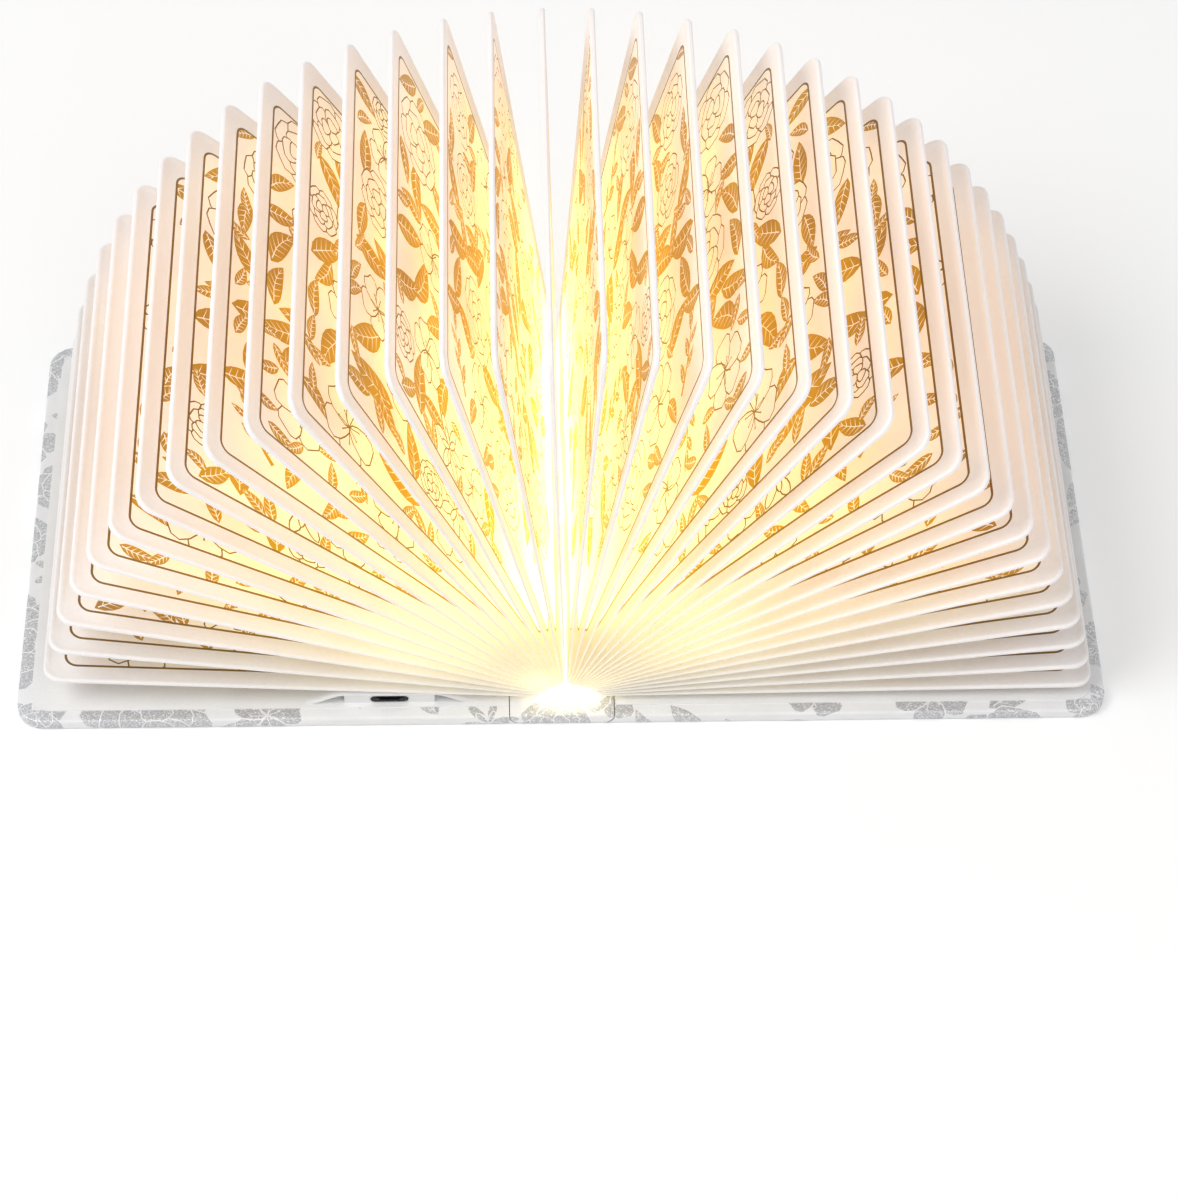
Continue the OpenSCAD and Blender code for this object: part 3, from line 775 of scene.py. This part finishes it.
def page_design(seed):
    """Triangles of a leaf, drawn from its root at 0 to its fore edge at SHORT_LEAF."""
    w = SHORT_LEAF
    art = Drawing(PAGE, INK, petal=PAGE, edge=LINE)
    inner = rounded(BORDER_ROOT, w - BORDER, LEAF_L / 2 - BORDER, BORDER_R, BORDER_ROOT_R)
    art.fill(inner, PAGE)
    reach = LEAF_L / 2 - BORDER + PAST_LINE
    scatter(art, (30.0, w - BORDER + PAST_LINE, -reach, reach),
            [("rose", 15.0, 5), ("blossom", 13.5, 5), ("sprig", 20.0, 6), ("leaf", 13.0, 14),
             ("star", 11.0, 5), ("rose", 10.0, 6), ("leaf", 9.5, 22), ("leaf", 6.0, 28)],
            seed, 0.55, keep_out=lambda x, y: x < 60 and y < -52)
    outer = rounded(BORDER_ROOT - CLEAR, w - BORDER + CLEAR, reach - PAST_LINE + CLEAR,
                    BORDER_R + CLEAR, BORDER_ROOT_R + CLEAR)
    count = len(inner)
    ring = [[k, (k + 1) % count, count + (k + 1) % count, count + k] for k in range(count)]
    art.shapes.append((inner + outer, ring, MARGIN))
    art.stroke(inner, 0.85, LINE, closed=True)
    loops = []
    for inset in RIM_STEPS:
        loop = rounded(-2.0, w - inset, LEAF_L / 2 - inset, LEAF_R - inset, 0.0)
        loops.append(loop + loop[:1])
    loops.append([(ROOT_STRIP, -LEAF_L / 2), (ROOT_STRIP, LEAF_L / 2)])

    def band(x, y):
        d = float(edge_distance(x, y, w))
        return sum(d > inset for inset in RIM_STEPS) + (len(RIM_STEPS) + 1) * (x < ROOT_STRIP)

    points, faces, tones = triangulate(rounded(0.0, w, LEAF_L / 2, LEAF_R), loops, art.shapes,
                                       MARGIN, band)
    return np.array(points), faces, tones, boundary(faces)


def smooth_step(t):
    t = np.clip(t, 0.0, 1.0)
    return t * t * (3 - 2 * t)


def rim_height(s, y, w):
    """How far the glued rim stands off the flat of the leaf, on each side."""
    d = edge_distance(s, y, w)
    inner = smooth_step((RIM_WIDE - d) / (RIM_WIDE - RIM_PEAK))
    outer = np.clip((RIM_PEAK - d) / RIM_PEAK, 0.0, 1.0)
    share = np.where(d > RIM_PEAK, inner, 0.3 + 0.7 * np.sqrt(1 - outer * outer))
    return RIM_LIP * share * np.clip(s / w, 0.0, 1.0)


def light_share(degrees):
    """How much of the bar's painted light a leaf gets, from its angle above the nearer cover."""
    dark, full = 4.0, 30.0
    return 0.3 + 0.7 * smooth_step((min(degrees, 180 - degrees) - dark) / (full - dark))


def build_leaf(number, root, angle, design, rng):
    """One leaf from its flat design. root is the x and z of its hinge, in millimetres."""
    flat, faces, tones, rim = design
    w = SHUT_TOP - root[1]
    along = np.array((math.cos(angle), 0.0, math.sin(angle)))
    up = np.array((-math.sin(angle), 0.0, math.cos(angle)))
    bow = rng.uniform(-BOW, BOW)
    x, y = flat[:, 0], flat[:, 1]
    strip = x * (w - SHORT_LEAF + ROOT_STRIP) / ROOT_STRIP
    s = np.where(x > ROOT_STRIP, w - (SHORT_LEAF - x), strip)
    middle = (np.array((root[0], 0.0, root[1])) + s[:, None] * along
              + y[:, None] * np.array((0.0, 1.0, 0.0)) + (bow * (s / w) ** 2)[:, None] * up)
    half = (LEAF_T / 2 + rim_height(s, y, w))[:, None] * up
    page = np.stack((s / UV_SPAN, (y + UV_SPAN / 2) / UV_SPAN), 1)
    count = len(flat)
    ends = np.array(rim).reshape(-1)
    points = np.concatenate((middle + half, middle - half, (middle + half)[ends],
                             (middle - half)[ends]))
    uv_page = np.concatenate((page, page, page[ends], page[ends]))
    walls = []
    for k in range(len(rim)):
        a = 2 * count + 2 * k
        b = a + len(ends)
        walls.append([a + 1, a, b, b + 1])
    all_faces = faces + [[count + k for k in f[::-1]] for f in faces] + walls
    all_tones = tones + tones + [MARGIN] * len(walls)
    smooth = [True] * (2 * len(faces)) + [False] * len(walls)
    name = "leaf_%02d_paper" % number
    lit = light_share(math.degrees(angle))
    piece = add_object(name, points, all_faces, all_tones,
                       [KINDS["margin"], KINDS["page"], KINDS["ink"], KINDS["line"]],
                       "leaf_%02d_sheet" % number,
                       {"page": uv_page, "lit": [(lit, 0.0)] * len(points)}, smooth)
    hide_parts("leaf_%02d" % number)
    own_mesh(piece)


def build_leaves():
    designs = [page_design(seed) for seed in (11, 23, 37, 41, 59)]
    rng = random.Random(7)
    for joint in frame["joints"]:
        if not joint["name"].startswith("leaf_"):
            continue
        number = int(joint["name"][5:7])
        turn = joint["range_deg"][1]
        angle = math.radians(90 - turn if joint["axis"][1] < 0 else 90 + turn)
        root = (joint["pos_m"][0] / MM, joint["pos_m"][2] / MM)
        build_leaf(number, root, angle, designs[(number * 2) % len(designs)], rng)


# ---- covers
EDGE_R = 0.8  # rounding of a cover's edges
TURN_DEEP = 7.0  # width of paper that is turned in over the top
CORNER_FOLDS = 5
PLEAT_DEEP = 0.22
BEND = math.pi * EDGE_R / 2  # length of paper round one rounded edge
WALL = COVER_T - 2 * EDGE_R  # height of the edge between its roundings
FOLD_END = 2 * BEND + WALL  # where the paper lies flat on top again
SHEET_OUT = FOLD_END + TURN_DEEP - EDGE_R
JOINT_LINES = (5.0, 12.0)  # the paper next to the hollow edge ends at the second
ROLL_STEPS = 8
BARE_TOP = COVER_T - 0.01  # plain paper under the linings and the light bar
X_FLAT = COVER_W - EDGE_R
Y_FLAT = COVER_L / 2 - EDGE_R
R_FLAT = COVER_R - EDGE_R


def fold_over(t):
    """(distance in from the edge, height) of the paper at t past the start of the fold."""
    if t <= 0:
        return EDGE_R - t, 0.0
    if t < BEND:
        return EDGE_R - EDGE_R * math.sin(t / EDGE_R), EDGE_R - EDGE_R * math.cos(t / EDGE_R)
    if t < BEND + WALL:
        return 0.0, EDGE_R + t - BEND
    if t < FOLD_END:
        r = (t - BEND - WALL) / EDGE_R
        return EDGE_R - EDGE_R * math.cos(r), COVER_T - EDGE_R + EDGE_R * math.sin(r)
    return EDGE_R + t - 2 * BEND - WALL, COVER_T


def fold_steps(parts):
    """Distances past the start of the fold at which the paper bends."""
    bend = [BEND * k / parts for k in range(parts + 1)]
    return bend + [BEND + WALL / 2] + [BEND + WALL + t for t in bend]


def hollow_x(z):
    """Distance from the hinge axis to a cover's hollow edge at a height."""
    return math.sqrt(max(0.0, HOLLOW_R ** 2 - (COVER_T - z) ** 2))


def sheet_art(seed):
    """The floral print over the whole unfolded sheet of the cover."""
    art = Drawing(PAPER, FOIL, petal=FOIL, edge=PAPER)
    past = 16  # the print runs off the sheet
    reach = HINGE_X + COVER_W + SHEET_OUT + past
    half = COVER_L / 2 + SHEET_OUT + past
    scatter(art, (-reach, reach, -half, half),
            [("rose", 23.0, 14), ("sprig", 30.0, 24), ("rose", 14.0, 16), ("blossom", 13.0, 22),
             ("sprig", 20.0, 30), ("star", 11.0, 20), ("leaf", 13.0, 80), ("leaf", 8.0, 150)],
            seed, 0.45)
    return art.shapes


def touching(shapes, x0, x1):
    """The shapes that reach between x0 and x1."""
    return [s for s in shapes if max(p[0] for p in s[0]) > x0 and min(p[0] for p in s[0]) < x1]


def fold_place(x, y):
    """Where a place of the flat sheet hangs from: the nearest place that doesn't fold, the
    direction from there, the distance, and the depth of the corner's pleat."""
    cx, cy = X_FLAT - R_FLAT, Y_FLAT - R_FLAT
    if x > cx and abs(y) > cy:
        d = Vector((x - cx, abs(y) - cy))
        if d.length <= R_FLAT:
            return (x, y), (0.0, 0.0), 0.0, 0.0
        n = d.normalized()
        t = d.length - R_FLAT
        pleat = 0.0
        if t > BEND + WALL:
            turn = math.atan2(n.y, n.x) / (math.pi / 2)
            wave = abs(math.sin(math.pi * CORNER_FOLDS * turn))
            pleat = PLEAT_DEEP * (1 - wave) * math.sin(math.pi * min(1.0, max(0.0, turn)))
        base = (cx + n.x * R_FLAT, math.copysign(cy + n.y * R_FLAT, y))
        return base, (n.x, math.copysign(n.y, y)), t, pleat
    if x > X_FLAT:
        return (X_FLAT, y), (1.0, 0.0), x - X_FLAT, 0.0
    if abs(y) > Y_FLAT:
        return (x, math.copysign(Y_FLAT, y)), (0.0, math.copysign(1.0, y)), abs(y) - Y_FLAT, 0.0
    return (x, y), (0.0, 0.0), 0.0, 0.0


def folded(x, y):
    """Place on the folded cover, x from its hinge axis, of a place on the flat sheet."""
    base, normal, t, pleat = fold_place(x, y)
    inset, z = fold_over(t)
    out = EDGE_R - inset if t > 0 else 0.0
    px, py = base[0] + normal[0] * out, base[1] + normal[1] * out
    x_in, end = hollow_x(0.0), JOINT_LINES[1]
    if px < end:
        low = hollow_x(z)
        px = low + (px - x_in) * (end - low) / (end - x_in)
    return px, py, max(0.0, z - pleat) if z > COVER_T / 2 else z


def add_bare_top(points, faces, tones, x0, x1, half):
    """Plain paper just under a cover's top, from x0 outwards to x1."""
    first = len(points)
    for x, y in ((x0, -half), (x1, -half), (x1, half), (x0, half)):
        points.append((x, y, BARE_TOP))
    ring = [first, first + 1, first + 2, first + 3]
    faces.append(ring if x1 > x0 else ring[::-1])
    tones.append(PAPER)


def cover_paper(name, body, side, shapes):
    """Paper round a cover: side is 1 for the right cover and -1 for the left one."""
    x_in = hollow_x(0.0)
    steps = fold_steps(3) + [FOLD_END + 2.5]

    def expand(out):
        return rounded(x_in, X_FLAT + out, Y_FLAT + out, R_FLAT + out, steps=10, pitch=6.0)

    loops = [expand(t) + expand(t)[:1] for t in steps]
    loops += [[(x, -COVER_L), (x, COVER_L)] for x in JOINT_LINES]
    local = []
    for pts, polys, tone in shapes:
        local.append(([(side * p[0] - HINGE_X, p[1]) for p in pts], polys, tone))
    local = touching(local, x_in, COVER_W + SHEET_OUT)

    def band(x, y):
        cx, cy = X_FLAT - R_FLAT, Y_FLAT - R_FLAT
        if x > cx and abs(y) > cy:
            t = math.hypot(x - cx, abs(y) - cy) - R_FLAT
        else:
            t = max(x - X_FLAT, abs(y) - Y_FLAT)
        return sum(t > s for s in steps) + (len(steps) + 1) * sum(x < e for e in JOINT_LINES)

    flat, faces, tones = triangulate(expand(SHEET_OUT), loops, local, PAPER, band)
    points = []
    for x, y in flat:
        px, py, z = folded(x, y)
        points.append((side * px + side * HINGE_X, py, z))
    # the sheet is drawn as seen from above, its outer face looks down, and side mirrors it
    if side > 0:
        faces = [f[::-1] for f in faces]

    # hollow edge beside the spine
    first = len(points)
    for k in range(ROLL_STEPS + 1):
        z = COVER_T * k / ROLL_STEPS
        for y in (-COVER_L / 2, COVER_L / 2):
            points.append((side * (HINGE_X + hollow_x(z)), y, z))
    for k in range(ROLL_STEPS):
        ring = [first + 2 * k, first + 2 * k + 2, first + 2 * k + 3, first + 2 * k + 1]
        faces.append(ring if side < 0 else ring[::-1])
        tones.append(PAPER)
    inset = 5  # just inside the lining's edge
    add_bare_top(points, faces, tones, side * (HINGE_X + HOLLOW_R),
                 side * (HINGE_X + (COVER_W - inset)), COVER_L / 2 - inset)
    return add_object(name, points, faces, tones, [KINDS["cover"], KINDS["foil"]], body)


def spine_paper(shapes):
    """Paper under the spine, round its two rolled edges and over its ends."""
    roll = COVER_T
    reach = HINGE_X + math.pi * roll / 2
    half = Y_FLAT + SHEET_OUT + 8
    outline = [(-reach, -half), (reach, -half), (reach, half), (-reach, half)]
    rows = fold_steps(2)
    loops = []
    for t in rows:
        for s in (-1, 1):
            loops.append([(-reach, s * (Y_FLAT + t)), (reach, s * (Y_FLAT + t))])
    for k in range(ROLL_STEPS + 1):
        x = HINGE_X + (reach - HINGE_X) * k / ROLL_STEPS
        for s in (-1, 1):
            loops.append([(s * x, -half), (s * x, half)])

    def band(x, y):
        past = abs(x) - HINGE_X
        column = int(past / (reach - HINGE_X) * ROLL_STEPS) + 1 if past > 0 else 0
        if x <= 0:
            column += ROLL_STEPS + 2
        return sum(abs(y) - Y_FLAT > t for t in rows) + (len(rows) + 1) * column

    flat, faces, tones = triangulate(outline, loops, touching(shapes, -reach, reach), PAPER, band)
    points = []
    for x, y in flat:
        turn = min(roll * math.pi / 2, max(0.0, abs(x) - HINGE_X)) / roll
        px = math.copysign(min(abs(x), HINGE_X) + roll * math.sin(turn), x)
        low = roll - roll * math.cos(turn)
        t = max(0.0, abs(y) - Y_FLAT)
        inset, z = fold_over(t)
        py = math.copysign(Y_FLAT + EDGE_R - inset, y) if t > 0 else y
        points.append((px, py, low + (COVER_T - low) * z / COVER_T))
    faces = [f[::-1] for f in faces]
    add_bare_top(points, faces, tones, -HINGE_X - roll, HINGE_X + roll, 75)
    piece = add_object("spine_paper", points, faces, tones, [KINDS["cover"], KINDS["foil"]],
                       "spine")
    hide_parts("spine_wrap")


def build_covers():
    shapes = sheet_art(5)
    right = cover_paper("right_cover_paper", "right_cover", 1, shapes)
    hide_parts("right_wrap")
    left = cover_paper("left_cover_paper", "left_cover", -1, shapes)
    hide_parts("left_wrap")
    spine_paper(shapes)


# ---- left lining and port
TENT_SLOPE = 13.0  # width of the paper's slope round the housing
TENT_LIFT = 0.02  # keeps the swelling clear of the flat lining


def tent_height(x, y):
    """Height of the paper over the battery housing, x from the hinge axis."""
    rise = smooth_step((x - (HOUSING_SET - TENT_SLOPE)) / TENT_SLOPE)
    fall = smooth_step((HOUSING_SET + HOUSING_W + TENT_SLOPE - x) / TENT_SLOPE)
    back = smooth_step((HOUSING_FRONT + HOUSING_L + TENT_SLOPE - y) / TENT_SLOPE)
    return HOUSING_H * rise * fall * back


def left_lining_paper():
    """Lining with a soft swelling over the housing, open at the front."""
    x0, x1 = HOLLOW_R + LINING_T, COVER_W - LINING_MARGIN
    half = COVER_L / 2 - LINING_MARGIN
    outline = rounded(x0, x1, half, COVER_R - LINING_MARGIN / 2, pitch=8.0)
    flat, faces, _ = triangulate(outline, [], [], 0)
    points = [(-HINGE_X - x, y, COVER_T + LINING_T) for x, y in flat]
    edge = boundary(faces)
    faces = [f[::-1] for f in faces]
    smooth = [False] * len(faces)
    for a, b in edge:
        first = len(points)
        for k in (a, b):
            x, y = flat[k]
            points.append((-HINGE_X - x, y, COVER_T))
            points.append((-HINGE_X - x, y, COVER_T + LINING_T))
        faces.append([first, first + 1, first + 3, first + 2])
        smooth.append(False)
    start = HOUSING_SET - TENT_SLOPE
    wide = HOUSING_W + 2 * TENT_SLOPE
    deep0, deep1 = -LEAF_L / 2, HOUSING_FRONT + HOUSING_L + TENT_SLOPE
    nx, ny = 56, 60
    for level, flip in ((TENT_LIFT, False), (-LINING_T, True)):
        first = len(points)
        for i in range(nx + 1):
            for k in range(ny + 1):
                x = start + wide * i / nx
                y = deep0 + (deep1 - deep0) * k / ny
                z = COVER_T + LINING_T + tent_height(x, y) + level
                points.append((-HINGE_X - x, y, max(COVER_T + TENT_LIFT, z)))
        for i in range(nx):
            for k in range(ny):
                a = first + i * (ny + 1) + k
                ring = [a, a + 1, a + ny + 2, a + ny + 1]
                faces.append(ring[::-1] if flip else ring)
                smooth.append(True)
    # front lip of the swelling
    size = (nx + 1) * (ny + 1)
    first = len(points) - 2 * size
    for i in range(nx):
        a, b = first + i * (ny + 1), first + (i + 1) * (ny + 1)
        faces.append([a, b, b + size, a + size])
        smooth.append(False)
    piece = add_object("left_lining_paper", points, faces, [0] * len(faces), [KINDS["lining"]],
                       "left_cover", smooth=smooth)
    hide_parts("left_lining")


def stadium(w, h, steps=10):
    """Slot shape with round ends."""
    r = h / 2
    points = []
    for side, start in ((1, -math.pi / 2), (-1, math.pi / 2)):
        for k in range(steps + 1):
            a = start + math.pi * k / steps
            points.append((side * (w / 2 - r) + r * math.cos(a), r * math.sin(a)))
    return points


def port_frame():
    """Black bezel round the socket, with a thin pale rim, inside the housing's slot."""
    black, rim = 0, 1
    # width, height and depth of each ring, and the tone of the strip that leads to it
    x = -(HINGE_X + HOUSING_SET + HOUSING_W / 2)
    z = COVER_T + HOUSING_H / 2
    rings = [(SLOT_W - 0.05, SLOT_H - 0.05, 1.1, rim),
             (SLOT_W - 0.05, SLOT_H - 0.05, -0.15, rim),
             (SLOT_W - 0.45, SLOT_H - 0.45, -0.30, rim),
             (SLOT_W - 0.75, SLOT_H - 0.75, -0.15, rim),
             (SLOT_W - 0.80, SLOT_H - 0.80, 0.35, black),
             (SLOT_W - 2.4, SLOT_H - 0.95, 0.50, black),
             (8.6, 2.8, 0.75, black), (8.5, 2.7, 1.5, black)]
    points, faces, tones = [], [], []
    loops = []
    for w, h, deep, _ in rings:
        shape = stadium(w, h)
        loops.append(len(points))
        points.extend((x + px, HOUSING_FRONT + deep, z + pz) for px, pz in shape)
    count = len(shape)
    for n in range(len(rings) - 1):
        for k in range(count):
            m = (k + 1) % count
            a, b = loops[n], loops[n + 1]
            faces.append([a + k, b + k, b + m, a + m])
            tones.append(rings[n + 1][3])
    add_object("port_frame", points, faces, tones, [KINDS["black"], KINDS["rim"]], "left_cover")


NODE_KINDS = {
    "spine_board": "greyboard", "bar_base": "bar_metal", "led_strip": "circuit",
    "led_chips": "led", "diffuser": "diffuser", "front_end_cap": "cap", "rear_end_cap": "cap",
    "bar_lead": "lead", "right_board": "greyboard", "right_lining": "lining",
    "right_magnets": "magnet", "left_board": "greyboard", "left_magnets": "magnet",
    "housing_tray": "housing", "housing_lid": "housing", "battery_cell": "cell",
    "charge_board": "mask", "usb_shell": "steel", "usb_tongue": "black", "cover_lead": "lead",
}


def dress_nodes():
    for name, kind in NODE_KINDS.items():
        mesh = frame["nodes"][name].data
        if not mesh.materials:
            mesh.materials.append(KINDS[kind])
        for k in range(len(mesh.materials)):
            mesh.materials[k] = KINDS[kind]


KINDS = build_materials()
place_camera()
build_surroundings()
dress_nodes()
build_leaves()
build_covers()
left_lining_paper()
port_frame()
